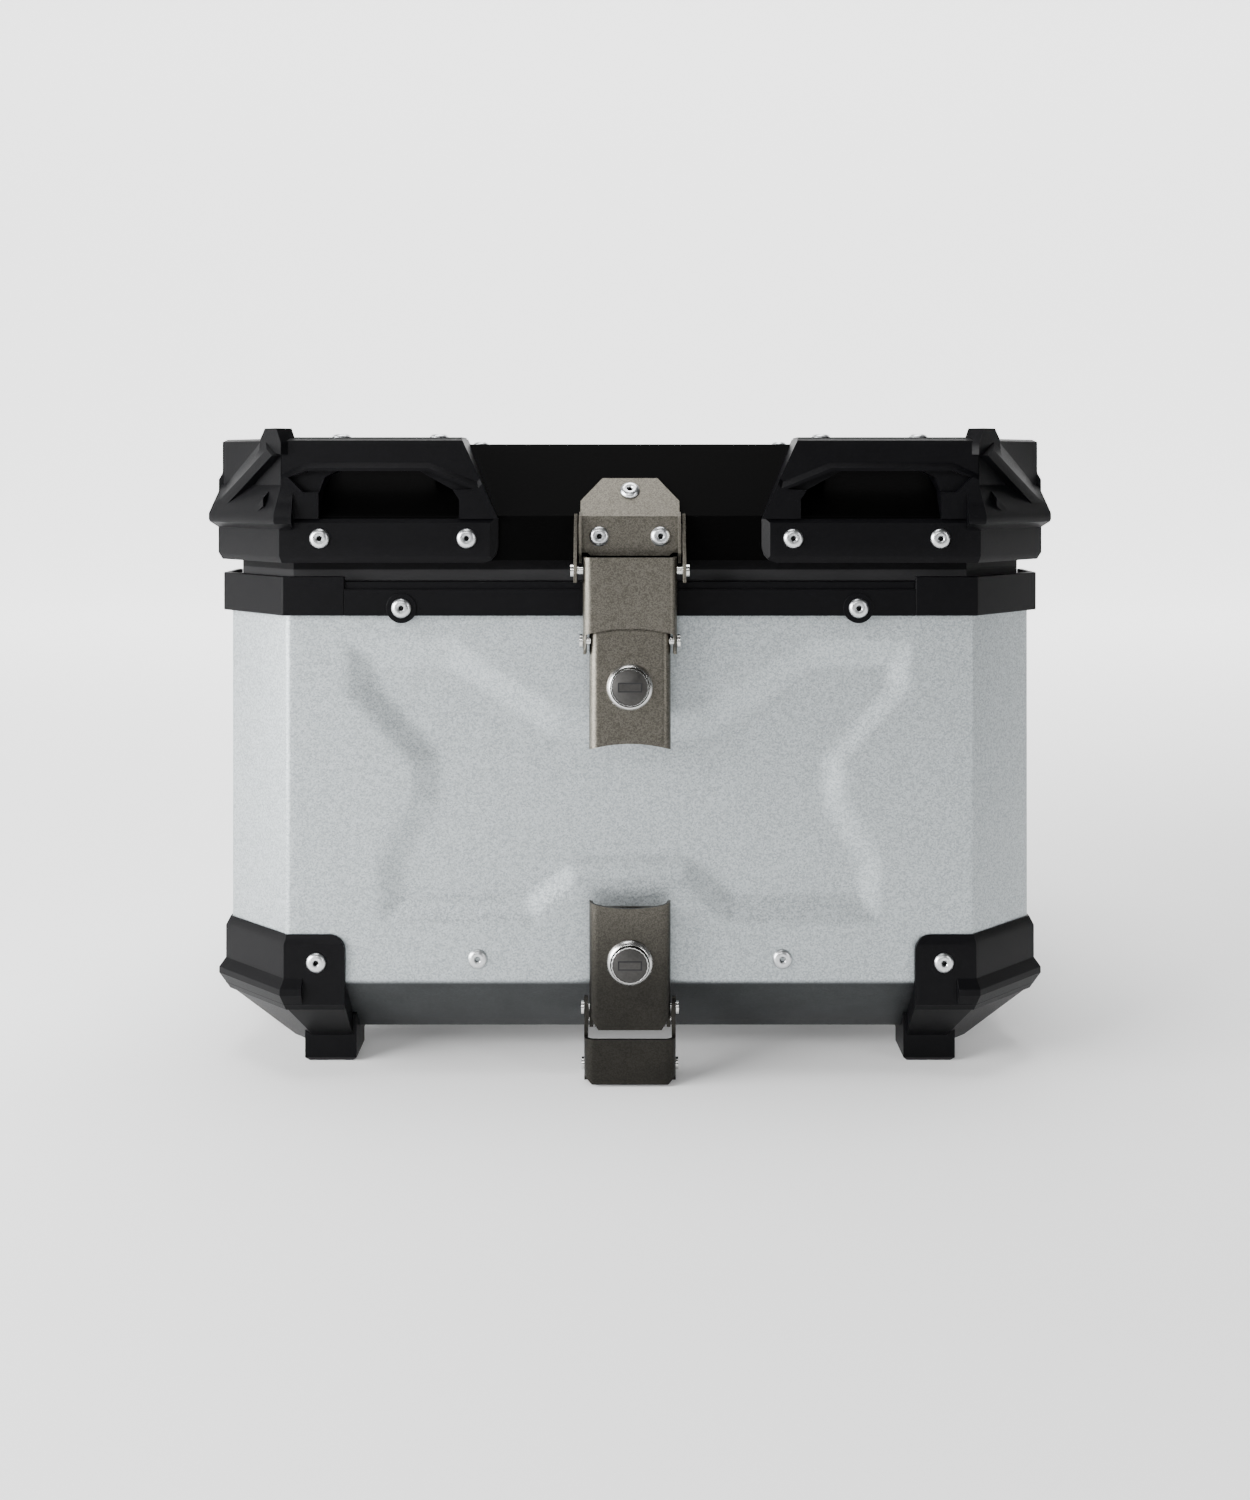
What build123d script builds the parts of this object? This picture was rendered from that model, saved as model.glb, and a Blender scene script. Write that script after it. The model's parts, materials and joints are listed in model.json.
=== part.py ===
"""Aluminium top case for a motorcycle: folded tub, hinged lid, lid latch and mounting latch.

Frame: +Z up, X across, the latch side faces -Y.  The origin is on the plane of the
four feet, at the middle of the whole object.  All sizes are in millimetres.
"""

import os
from itertools import pairwise
from math import cos, radians, sin, sqrt

from build123d import *

os.makedirs("parts", exist_ok=True)

# Tub, folded from aluminium sheet
body_width = 408.0
body_depth = 318.0
corner_leg = 35.3  # each vertical corner is cut off by this much along both walls
floor_z = 14.5
fold_z = 46.7  # the walls turn in at 45 degrees below this height
wall_top_z = 240.0
sheet = 1.5
recess_depth = 1.6  # stamped stiffening panel on the latch side
mat_thickness = 2.0

# Rim of the tub and edge of the lid
rim_bottom_z = 227.0
rim_cap_z = 243.5
rim_lip_z = 246.3
rim_proud = 4.0
corner_reach = 28.7  # rim corners and bottom protectors run this far past the corner cut
gasket_z = 243.8
gasket_height = 5.4
frame_flange_z = 256.0

# Lid
lid_bottom_z = 254.2
lid_bend_z = 276.0
lid_top_z = 311.6
lid_proud = 3.0
lid_inset = 27.0

# Lid guards with their grips
guard_proud = 6.5
guard_bottom_z = 253.0
guard_ledge_z = 274.6
grip_top_z = 314.0
grip_bar_z = 298.0
brow_z = 299.5  # a lip along the bottom of the grip bar
grip_depth = 14.5
guard_top_z = 315.0
peak_z = 319.0
bumper_proud = 11.0
front_arm = 104.2
side_arm = 85.0

# Blind rivets
rivet_head = 4.9
rivet_shank = 2.4
rivet_dome = 1.9

# Lid latch, a link and a lock lever of bent stainless sheet
steel = 1.8
pin_radius = 2.0
hole_radius = 2.1
link_pin_out = 12.7
link_pin_z = 249.7
lever_pin_z = 215.6
link_width = 45.6
link_face_out = 19.0
lever_width = 39.4
lever_face = 4.2  # outer face of the lever, from its pin
lever_reach = 52.0
lever_tilt = 6.0
lock_drop = 22.3
barrel_radius = 9.0

# Mounting latch
mount_pivot_out = 7.0
mount_pivot_z = 31.0
claw_pin_out = 8.0
claw_pin_z = 36.8
mount_lever_face = 7.0
mount_lever_tilt = 4.0
mount_lever_reach = 59.3
mount_lock_rise = 30.0
claw_width = 44.6
claw_face_out = 15.0
claw_bottom_z = 1.2
claw_top_z = 23.0

# Rear hinges
hinge_out = 8.0
hinge_z = 248.0
hinge_radius = 3.2
hinge_pin_radius = 1.6
hinge_x = 42.0
hinge_width = 30.0
hinge_middle = 12.0

# The lock barrel reaches furthest forward, the hinge knuckles furthest back
front_reach = 24.4
rear_reach = hinge_out + hinge_radius
body_y = (front_reach - rear_reach) / 2
front_y = body_y - body_depth / 2
back_y = body_y + body_depth / 2
side_x = body_width / 2
face_half = side_x - corner_leg


# ---------------------------------------------------------------- plan shapes
def plan(out):
    """The eight corners of the case's plan, moved outwards by out."""
    half_x = body_width / 2 + out
    half_y = body_depth / 2 + out
    leg = corner_leg + out * (2 - sqrt(2))
    quarter = [(half_x, half_y - leg), (half_x - leg, half_y)]
    points = quarter + [(-x, y) for x, y in reversed(quarter)]
    points += [(-x, -y) for x, y in quarter] + [(x, -y) for x, y in reversed(quarter)]
    return [(x, y + body_y) for x, y in points]


def tower(levels, mode=Mode.ADD):
    """A solid through the case's plan at each (height, outward offset)."""
    for (low, low_out), (high, high_out) in pairwise(levels):
        with BuildSketch(Plane.XY.offset(low)) as lower:
            Polygon(*plan(low_out), align=None)
        if low_out == high_out:
            extrude(lower.sketch, amount=high - low, mode=mode)
            continue
        with BuildSketch(Plane.XY.offset(high)) as upper:
            Polygon(*plan(high_out), align=None)
        loft([lower.sketch, upper.sketch], ruled=True, mode=mode)


def ring(low, high, outer, inner):
    """A straight band that follows the case's plan."""
    with BuildSketch(Plane.XY.offset(low)) as shape:
        Polygon(*plan(outer), align=None)
        Polygon(*plan(inner), align=None, mode=Mode.SUBTRACT)
    extrude(shape.sketch, amount=high - low)


def keep_box(low, high):
    """Cut the part being built down to the box between two corners."""
    middle = [(a + b) / 2 for a, b in zip(low, high)]
    size = [b - a for a, b in zip(low, high)]
    with Locations(Vector(*middle)):
        Box(*size, mode=Mode.INTERSECT)


def block(low, high, mode=Mode.ADD):
    """A box between two corners."""
    middle = [(a + b) / 2 for a, b in zip(low, high)]
    size = [b - a for a, b in zip(low, high)]
    with Locations(Vector(*middle)):
        Box(*size, mode=mode)


def write(builder, name):
    """Label a finished piece and write its file."""
    builder.part.label = name
    export_step(builder.part, f"parts/{name}.step")


def wall_plane(out, z):
    """A plane on the latch side: X across, its second axis up, facing out."""
    return Plane(origin=(0, front_y - out, z), x_dir=(1, 0, 0), z_dir=(0, -1, 0))


# ---------------------------------------------------------------- rivets
FRONT = (0, -1, 0)
REAR = (0, 1, 0)
LEFT = (-1, 0, 0)
RIGHT = (1, 0, 0)
UP = (0, 0, 1)


def rivet_plane(place, facing):
    """A plane at a rivet's seat that faces the way its head does."""
    across = (1, 0, 0) if facing[0] == 0 else (0, 1, 0)
    return Plane(origin=place, x_dir=across, z_dir=facing)


def rivet_shape(grip):
    """One dome-head blind rivet along +Z: dome with its mandrel hole, shank and set tail."""
    tail = -grip - 1.5
    hole_floor = -0.8
    with BuildPart() as shape:
        with BuildSketch(Plane.XZ) as profile:
            with BuildLine() as edge:
                Polyline(
                    (0, hole_floor),
                    (0, tail),
                    (rivet_head - 1.3, tail),
                    (rivet_head - 1.3, -grip),
                    (rivet_shank, -grip),
                    (rivet_shank, 0),
                    (rivet_head, 0),
                    (rivet_head, 0.4),
                )
                ThreePointArc((rivet_head, 0.4), (4.15, 1.35), (2.6, rivet_dome))
                Polyline((2.6, rivet_dome), (1.7, rivet_dome - 0.1), (1.3, 1.4), (1.2, hole_floor), (0, hole_floor))
            make_face(edge.line)
        revolve(profile.sketch, axis=Axis.Z)
    return shape.part


def place_rivets(shape, seats):
    """Copies of one rivet at every seat."""
    for place, facing in seats:
        add(shape.moved(rivet_plane(place, facing).location))


def rivet_holes(seats, depth=16.0):
    """Holes for the same rivets, through whatever part is being built."""
    for place, facing in seats:
        with BuildSketch(rivet_plane(place, facing).offset(2.0)) as shape:
            Circle(rivet_shank)
        extrude(shape.sketch, amount=-depth, mode=Mode.SUBTRACT)


protector_seats = []
for side in (-1, 1):
    protector_seats.append(((side * 154.0, front_y - 3.0, 56.7), FRONT))
    protector_seats.append(((side * 154.0, back_y + 3.0, 56.7), REAR))
    for end, turn in ((front_y, 1), (back_y, -1)):
        facing = LEFT if side < 0 else RIGHT
        protector_seats.append(((side * (side_x + 3.0), end + turn * 50.0, 56.7), facing))

rail_seats = []
for side in (-1, 1):
    rail_seats.append(((side * 112.0, front_y - 4.5, 230.8), FRONT))
    rail_seats.append(((side * 112.0, back_y + 4.5, 230.8), REAR))
    rail_seats.append(((side * (side_x + 4.5), body_y, 230.8), LEFT if side < 0 else RIGHT))

tub_seats = [((side * 75.0, front_y, 57.7), FRONT) for side in (-1, 1)]

catch_seats = [((x, front_y - steel, 181.6), FRONT) for x in (-9.0, 9.0)]
base_seats = [((x, front_y - 2.0, 78.5), FRONT) for x in (-9.0, 9.0)]

arm_seats = []
for side in (-1, 1):
    for x in (79.8, 151.7):
        arm_seats.append(((side * x, front_y - guard_proud, 265.0), FRONT))
        arm_seats.append(((side * x, back_y + guard_proud, 265.0), REAR))
    facing = LEFT if side < 0 else RIGHT
    for end, turn in ((front_y, 1), (back_y, -1)):
        for along in (53.0, 104.0):
            arm_seats.append(((side * (side_x + guard_proud), end + turn * along, 265.0), facing))

top_seats = []
for side in (-1, 1):
    for x in (98.0, 148.0):
        for y in (front_y + 36.0, back_y - 36.0):
            top_seats.append(((side * x, y, guard_top_z), UP))

bracket_seats = [((side * 15.0, front_y - lid_proud - 3.0, 266.0), FRONT) for side in (-1, 1)]

hinge_body_seats = []
hinge_lid_seats = []
for side in (-1, 1):
    for step in (-8.0, 8.0):
        x = side * hinge_x + step
        hinge_body_seats.append(((x, back_y + 2.0, 208.0), REAR))
        hinge_lid_seats.append(((x, back_y + lid_proud + 2.0, 265.0), REAR))

hook_x = 60.0
hook_y = back_y - 62.0

# ---------------------------------------------------------------- tub
turn_in = fold_z - floor_z
inner_shift = sheet * sqrt(2)
tub_outside = [(floor_z, -turn_in), (fold_z, 0), (wall_top_z, 0)]

panel_right = [
    (34.5, 175.4),
    (88.7, 211.0),
    (135.4, 211.0),
    (135.4, 190.0),
    (103.4, 154.7),
    (103.4, 136.0),
    (120.7, 106.4),
    (120.7, 79.3),
    (49.3, 79.3),
    (27.1, 97.6),
]
panel_outline = panel_right + [(-x, z) for x, z in reversed(panel_right)]

with BuildPart() as tub_shell:
    tower(tub_outside)
    inside_floor = floor_z + sheet
    inside_fold = fold_z + inner_shift - sheet
    inside_turn = inside_floor - fold_z - inner_shift
    tower([(inside_floor, inside_turn), (inside_fold, -sheet), (wall_top_z, -sheet)], Mode.SUBTRACT)
    with BuildSketch(wall_plane(-sheet, 0)):
        Polygon(*panel_outline, align=None)
        offset(amount=sheet, kind=Kind.INTERSECTION)
    extrude(amount=-recess_depth)
    with BuildSketch(wall_plane(0, 0)):
        Polygon(*panel_outline, align=None)
    extrude(amount=-recess_depth, mode=Mode.SUBTRACT)
    rivet_holes(protector_seats + rail_seats + tub_seats + catch_seats + base_seats + hinge_body_seats)
    for side in (-1, 1):
        with BuildSketch(Plane.XY.offset(floor_z - 2.0)):
            with Locations((side * hook_x, hook_y)):
                Circle(rivet_shank)
        extrude(amount=5.0, mode=Mode.SUBTRACT)
write(tub_shell, "tub_shell")

with BuildPart() as floor_mat:
    with BuildSketch(Plane.XY.offset(inside_floor)):
        Polygon(*plan(inside_turn - 4.0), align=None)
        with Locations((-hook_x, hook_y), (hook_x, hook_y)):
            Circle(7.0, mode=Mode.SUBTRACT)
    extrude(amount=mat_thickness)
write(floor_mat, "floor_mat")


# ---------------------------------------------------------------- bottom corner protectors
def mirrored(piece, name, plane):
    """Write the mirror image of a finished piece."""
    with BuildPart() as twin:
        mirror(piece, about=plane)
    write(twin, name)
    return twin.part


def four_corners(builder, name):
    """Write a front left piece and its three mirror images."""
    middle = Plane.XZ.offset(-body_y)
    write(builder, f"{name}_front_left")
    mirrored(builder.part, f"{name}_rear_left", middle)
    right = mirrored(builder.part, f"{name}_front_right", Plane.YZ)
    mirrored(right, f"{name}_rear_right", middle)


far = 260.0
reach_x = face_half - corner_reach
reach_y = front_y + corner_leg + corner_reach

with BuildPart() as protector:
    tower([(5.0, -30.0), (36.0, 3.0), (65.5, 3.0), (70.0, 0.8)])
    tower([(33.0, 1.0), (41.5, 6.2), (44.5, 6.2), (49.0, 3.0)])
    keep_box((-far, -far, 0), (-reach_x, reach_y, 80))
    # the ridge is only on the corner itself
    block((-face_half + 8.0, -far, 30.0), (0, front_y - 3.0, 60.0), Mode.SUBTRACT)
    block((-far, front_y + corner_leg + 8.0, 30.0), (-side_x - 3.0, far, 60.0), Mode.SUBTRACT)
    with BuildSketch(Plane.XY):
        with Locations((-151.0, front_y + 34.0)):
            Rectangle(26.0, 26.0)
    extrude(amount=24.0)
    chamfer(protector.faces().sort_by(Axis.Z)[0].edges(), length=2.0)
    tower(tub_outside, Mode.SUBTRACT)
    rivet_holes(protector_seats)
    # rounded upper inner corners of the two flanges
    for plane in (
        Plane(origin=(-reach_x, front_y, 70.0), x_dir=(1, 0, 0), z_dir=(0, -1, 0)),
        Plane(origin=(-side_x, reach_y, 70.0), x_dir=(0, 1, 0), z_dir=(1, 0, 0)),
    ):
        with BuildSketch(plane.offset(-8.0)):
            with Locations((-4.5, -4.5)):
                Rectangle(9.0, 9.0)
                with Locations((-3.5, -3.5)):
                    Circle(8.0, mode=Mode.SUBTRACT)
                    with Locations((-4.0, 0)):
                        Rectangle(8.0, 20.0, mode=Mode.SUBTRACT)
                    with Locations((0, -4.0)):
                        Rectangle(20.0, 8.0, mode=Mode.SUBTRACT)
        extrude(amount=16.0, mode=Mode.SUBTRACT)
four_corners(protector, "corner_protector")


# ---------------------------------------------------------------- rim of the tub
def rim_core():
    """The part of the rim that every piece shares: the cap and the inner skirt."""
    ring(wall_top_z, rim_cap_z, 2.5, -12.0)
    ring(232.0, wall_top_z, -sheet, -sheet - 2.5)


with BuildPart() as rim_corner:
    ring(rim_bottom_z, rim_cap_z, rim_proud, 0)
    ring(rim_cap_z, rim_lip_z, rim_proud, 1.0)
    rim_core()
    keep_box((-far, -far, 200), (-reach_x, reach_y, 260))
four_corners(rim_corner, "rim_corner")

rail_boxes = {
    "rim_rail_front": ((-reach_x, -far, 200), (reach_x, front_y + 60, 260)),
    "rim_rail_rear": ((-reach_x, back_y - 60, 200), (reach_x, far, 260)),
    "rim_rail_left": ((-far, reach_y, 200), (-150, 2 * body_y - reach_y, 260)),
    "rim_rail_right": ((150, reach_y, 200), (far, 2 * body_y - reach_y, 260)),
}
for name, (low, high) in rail_boxes.items():
    with BuildPart() as rail:
        ring(rim_bottom_z, wall_top_z, rim_proud, 0)
        rim_core()
        keep_box(low, high)
        for place, facing in rail_seats:
            if all(a < b < c for a, b, c in zip(low, place, high)):
                with BuildSketch(rivet_plane(place, facing)):
                    Circle(7.4)
                extrude(amount=-4.5)
        rivet_holes(rail_seats)
    write(rail, name)

with BuildPart() as lid_gasket:
    ring(gasket_z, gasket_z + gasket_height, -5.0, -11.0)
write(lid_gasket, "lid_gasket")

with BuildPart() as lid_frame:
    ring(gasket_z + gasket_height, frame_flange_z, -5.0, -13.0)
    ring(frame_flange_z, frame_flange_z + 2.0, lid_proud - sheet, -13.0)
write(lid_frame, "lid_frame")

# ---------------------------------------------------------------- lid
lid_rise = lid_top_z - lid_bend_z
lid_run = lid_proud + lid_inset
slope_length = sqrt(lid_rise**2 + lid_run**2)
lid_shift = sheet * slope_length / lid_rise  # the sheet's thickness measured level across the slope
lid_outside = [(lid_bottom_z, lid_proud), (lid_bend_z, lid_proud), (lid_top_z, -lid_inset)]


def slope_out(z):
    """Outward offset of the lid's sloping band at a height."""
    return lid_proud - lid_run * (z - lid_bend_z) / lid_rise


lid_in_top = lid_top_z - sheet
lid_in_bend = lid_bend_z - (lid_shift - sheet) * lid_rise / lid_run
tongue_z = 287.0
slope_normal = (0, -lid_rise / slope_length, lid_run / slope_length)
tongue_seat = (
    0,
    front_y - slope_out(tongue_z) + 2.0 * slope_normal[1],
    tongue_z + 2.0 * slope_normal[2],
)
tongue_plane = Plane(origin=tongue_seat, x_dir=(1, 0, 0), z_dir=slope_normal)
bracket_seats_all = bracket_seats + [(tongue_seat, slope_normal)]

with BuildPart() as lid_panel:
    tower(lid_outside)
    tower(
        [
            (lid_bottom_z, lid_proud - sheet),
            (lid_in_bend, lid_proud - sheet),
            (lid_in_top, slope_out(lid_in_top) - lid_shift),
        ],
        Mode.SUBTRACT,
    )
    rivet_holes(arm_seats + top_seats + bracket_seats_all + hinge_lid_seats)
write(lid_panel, "lid_panel")


# ---------------------------------------------------------------- lid guards
def grip_arm(plane, sign, length):
    """One arm of a guard along a wall, with its grip bar and finger gap.

    The plane stands on the wall at the end of the corner cut, its second axis up;
    sign says which way the arm runs along the plane's first axis.
    """

    def face(points, mode=Mode.ADD):
        Polygon(*[(sign * s, z) for s, z in points], align=None, mode=mode)

    gap_end = length - 19.0
    with BuildSketch(plane.offset(guard_proud)) as shape:
        face([(-2, guard_ledge_z), (length, guard_ledge_z), (length - 18, grip_top_z), (-2, grip_top_z)])
        # finger gap, its upper corners cut off on the slant
        face(
            [
                (16.5, guard_ledge_z - 4),
                (gap_end, guard_ledge_z - 4),
                (gap_end, grip_bar_z - 14),
                (gap_end - 3, grip_bar_z - 9.5),
                (gap_end - 20, grip_bar_z),
                (25, grip_bar_z),
                (19, grip_bar_z - 3),
                (16.5, grip_bar_z - 9.5),
            ],
            Mode.SUBTRACT,
        )
    extrude(shape.sketch, amount=-guard_proud - 30.0)
    # shallow wedges beside the gap, under the brow
    with BuildSketch(plane.offset(guard_proud)) as shape:
        face(
            [
                (1.5, brow_z - 4.5),
                (11, brow_z - 1.5),
                (gap_end - 15.5, brow_z - 1.5),
                (gap_end + 7, brow_z - 10.5),
                (gap_end - 3, brow_z - 11),
                (9, brow_z - 12),
            ]
        )
    extrude(shape.sketch, amount=-4.0, mode=Mode.SUBTRACT)
    # the bar's face lies back above its brow, with a slope between
    with BuildSketch(plane.offset(guard_proud)) as shape:
        face(
            [
                (-30, brow_z - 19),
                (1.0, brow_z - 4.5),
                (11, brow_z),
                (gap_end - 15, brow_z),
                (gap_end + 9.5, brow_z - 10),
                (gap_end + 12.5, brow_z - 6),
                (gap_end + 60, brow_z),
                (gap_end + 60, 350),
                (-30, 350),
            ]
        )
    extrude(shape.sketch, amount=-2.0, taper=52, mode=Mode.SUBTRACT)
    # the slot behind the bar
    with BuildSketch(plane.offset(guard_proud - grip_depth)) as shape:
        face([(19, grip_bar_z - 6), (gap_end - 14, grip_bar_z - 6), (gap_end - 14, 330), (19, 330)])
    extrude(shape.sketch, amount=-22.0, mode=Mode.SUBTRACT)


def pad_end(plane, sign, length):
    """Round the lower corner at an arm's end and slope its end face."""
    low = guard_bottom_z
    with BuildSketch(plane.offset(guard_proud + 1)) as shape:
        Polygon(
            (sign * (length + 1), low - 1),
            (sign * (length - 7.5), low - 1),
            (sign * (length - 7.5), low),
            (sign * (length - 3.6), low + 1.2),
            (sign * (length - 1.2), low + 3.6),
            (sign * length, low + 7.5),
            (sign * (length + 1), low + 7.5),
            align=None,
        )
    extrude(shape.sketch, amount=-9.0, mode=Mode.SUBTRACT)
    side = Plane(origin=plane.origin, x_dir=plane.x_dir, z_dir=(0, 0, 1)).offset(low - 1)
    with BuildSketch(side) as shape:
        Polygon(
            (sign * (length - 4.2), sign_out(side, plane) * (guard_proud + 0.1)),
            (sign * (length + 1), sign_out(side, plane) * (guard_proud + 0.1)),
            (sign * (length + 1), sign_out(side, plane) * (guard_proud - 3.0)),
            align=None,
        )
    extrude(shape.sketch, amount=24.0, mode=Mode.SUBTRACT)


def sign_out(side, plane):
    """1 where a flat plane's second axis runs the way a wall faces, -1 where it runs inwards."""
    return 1 if side.y_dir.dot(plane.z_dir) > 0 else -1


lid_solid_levels = [(lid_bottom_z - 5.0, lid_proud)] + lid_outside[1:]
front_plane = Plane(origin=(-face_half, front_y, 0), x_dir=(1, 0, 0), z_dir=(0, -1, 0))
left_plane = Plane(origin=(-side_x, front_y + corner_leg, 0), x_dir=(0, -1, 0), z_dir=(-1, 0, 0))
half_root = sqrt(0.5)
cut_middle = (-side_x + corner_leg / 2, front_y + corner_leg / 2, 0)
cut_plane = Plane(origin=cut_middle, x_dir=(half_root, -half_root, 0), z_dir=(-half_root, -half_root, 0))
arm_end_x = -face_half + front_arm
arm_end_y = front_y + corner_leg + side_arm

with BuildPart() as guard_arms:
    grip_arm(front_plane, 1, front_arm)
    grip_arm(left_plane, -1, side_arm)
    # corner block over the cut corner, closed down to the lid
    with BuildSketch(cut_plane.offset(4.5)):
        Polygon((-26, 262), (26, 262), (26, grip_top_z), (-26, grip_top_z), align=None)
    extrude(amount=-48.0)
    keep_box((-far, -far, 200), (arm_end_x, arm_end_y, 330))
    # nothing of the arms or the block stands outside the walls' own lines
    with BuildPart(mode=Mode.PRIVATE) as outline:
        tower([(200, guard_proud), (309.5, guard_proud), (312.4, guard_proud - 1.2), (grip_top_z, 2.2)])
    add(outline.part, mode=Mode.INTERSECT)
    # top flanges on the lid
    block(
        (-face_half - 4, front_y + 20, lid_top_z),
        (arm_end_x - 20, front_y + 44, guard_top_z),
    )
    block(
        (-side_x + 20, front_y + corner_leg - 4, lid_top_z),
        (-side_x + 44, arm_end_y - 20, guard_top_z),
    )
    # diagonal rib and peak on the cut corner
    with BuildSketch(cut_plane.offset(4.0)) as rib_foot:
        Polygon((11, 316), (27, 306), (-18, 279), (-29, 288.5), align=None)
    with BuildSketch(cut_plane.offset(9.0)) as rib_crest:
        Polygon((20.5, 308.5), (25, 305.5), (-17, 280.3), (-21.5, 283.3), align=None)
    loft([rib_foot.sketch, rib_crest.sketch], ruled=True)
    with BuildSketch(cut_plane.offset(6.5)):
        Polygon((10, 309), (29, 306), (29, 312), (25, peak_z), (15, peak_z), (11, 314), align=None)
    extrude(amount=-9.0)
    tower(lid_solid_levels, Mode.SUBTRACT)

with BuildPart() as bumper:
    tower([(268.3, guard_proud - 1.5), (272.2, bumper_proud - 0.5), (273.5, bumper_proud)])
    tower([(273.5, bumper_proud), (276.5, bumper_proud), (281.5, 9.0), (291.0, guard_proud - 1.5)])
    # on the latch side it turns up towards the grip
    with BuildSketch(cut_plane.offset(4.0)) as turn_foot:
        Polygon((4.0, 278.5), (4.0, 272.0), (17.8, 277.5), (17.8, 290.0), align=None)
    with BuildSketch(cut_plane.offset(bumper_proud - 0.6)) as turn_crest:
        Polygon((5.5, 276.0), (5.5, 273.2), (19.5, 280.8), (19.5, 284.6), align=None)
    loft([turn_foot.sketch, turn_crest.sketch], ruled=True)
    with BuildPart(mode=Mode.PRIVATE) as outline:
        tower([(200, bumper_proud), (330, bumper_proud)])
    add(outline.part, mode=Mode.INTERSECT)
    keep_box((-far, -far, 200), (-face_half + 4, front_y + corner_leg + 4, 330))
    tower(lid_solid_levels, Mode.SUBTRACT)

with BuildPart() as band:
    tower([(guard_bottom_z, 4.5), (guard_bottom_z + 3.5, guard_proud), (272.6, guard_proud), (guard_ledge_z, 5.2)])
    tower([(200, lid_proud), (330, lid_proud)], Mode.SUBTRACT)
    keep_box((-far, -far, 200), (arm_end_x, arm_end_y, 330))
    pad_end(front_plane, 1, front_arm)
    pad_end(left_plane, -1, side_arm)

with BuildPart() as lid_guard:
    add(guard_arms.part)
    add(bumper.part)
    add(band.part)
    rivet_holes(arm_seats + top_seats)
four_corners(lid_guard, "lid_guard")

# ---------------------------------------------------------------- lid latch
bracket_half = 24.3
bracket_low_z = 256.6
bracket_gap = 1.0  # the yoke's thin base lies between bracket and lid
with BuildPart() as latch_yoke:
    block(
        (-27.2, front_y - lid_proud - bracket_gap, 258.0),
        (27.2, front_y - lid_proud, 272.0),
    )
    for side in (-1, 1):
        with BuildSketch(Plane.YZ.offset(side * 26.4 - 0.8)):
            with BuildLine():
                Polyline(
                    (front_y - lid_proud, 258.0),
                    (front_y - link_pin_out + 5.0, link_pin_z - 5.5),
                    (front_y - link_pin_out - 5.5, link_pin_z - 5.5),
                    (front_y - link_pin_out - 5.5, link_pin_z + 4.0),
                    (front_y - lid_proud - 3.0, 277.0),
                    (front_y - lid_proud, 277.0),
                    close=True,
                )
            make_face()
            with Locations((front_y - link_pin_out, link_pin_z)):
                Circle(hole_radius, mode=Mode.SUBTRACT)
        extrude(amount=1.6)
    rivet_holes(bracket_seats)
write(latch_yoke, "latch_yoke")

with BuildPart() as lid_bracket:
    with BuildSketch(wall_plane(lid_proud + bracket_gap, 0)):
        with BuildLine():
            Polyline(
                (-bracket_half, 276.0),
                (-bracket_half, bracket_low_z + 5.0),
                (-bracket_half + 5.0, bracket_low_z),
                (bracket_half - 5.0, bracket_low_z),
                (bracket_half, bracket_low_z + 5.0),
                (bracket_half, 276.0),
                close=True,
            )
        make_face()
    extrude(amount=2.0)
    with BuildSketch(tongue_plane.offset(-2.0)):
        with BuildLine():
            Polyline((-24.3, -17.0), (24.3, -17.0), (24.3, -6.5), (13.7, 8.0), (-13.7, 8.0), (-24.3, -6.5), close=True)
        make_face()
    extrude(amount=2.0)
    for side in (-1, 1):
        with BuildSketch(Plane.YZ.offset(side * 24.15 - 0.65)):
            Polygon(
                (front_y - lid_proud - bracket_gap, 278.0),
                (front_y - lid_proud - bracket_gap, 257.5),
                (front_y - 8.0, 253.0),
                (front_y - 12.5, 258.0),
                (front_y - 10.0, 276.0),
                align=None,
            )
        extrude(amount=1.3)
    tower(lid_outside, Mode.SUBTRACT)
    rivet_holes(bracket_seats_all)
write(lid_bracket, "lid_bracket")


def cross_pin(out, z, half, head_radius, head_length, lower=0.0):
    """A pin across the latch with a head at each end; lower leaves its middle out."""
    along = Plane(origin=(-half, front_y - out, z), x_dir=(0, 1, 0), z_dir=(1, 0, 0))
    with BuildSketch(along) as shape:
        Circle(pin_radius)
    extrude(shape.sketch, amount=2 * half)
    for start in (-half - head_length, half):
        with BuildSketch(Plane(origin=(start, front_y - out, z), x_dir=(0, 1, 0), z_dir=(1, 0, 0))) as shape:
            Circle(head_radius)
        extrude(shape.sketch, amount=head_length)
    if lower:
        block((-lower, front_y - out - 9, z - 9), (lower, front_y - out + 9, z + 9), Mode.SUBTRACT)


with BuildPart() as link_pin:
    cross_pin(link_pin_out, link_pin_z, 27.3, 3.2, 1.5)
write(link_pin, "link_pin")


def channel(width, depth, bend):
    """A U section: the web outwards (+Y of the sketch), the two legs behind it."""
    half = width / 2
    inner = half - steel
    with BuildLine() as section:
        FilletPolyline((-half, -depth), (-half, 0), (half, 0), (half, -depth), radius=bend)
        Line((half, -depth), (inner, -depth))
        FilletPolyline(
            (inner, -depth), (inner, -steel), (-inner, -steel), (-inner, -depth), radius=bend - steel
        )
        Line((-inner, -depth), (-half, -depth))
    make_face(section.line)


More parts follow.
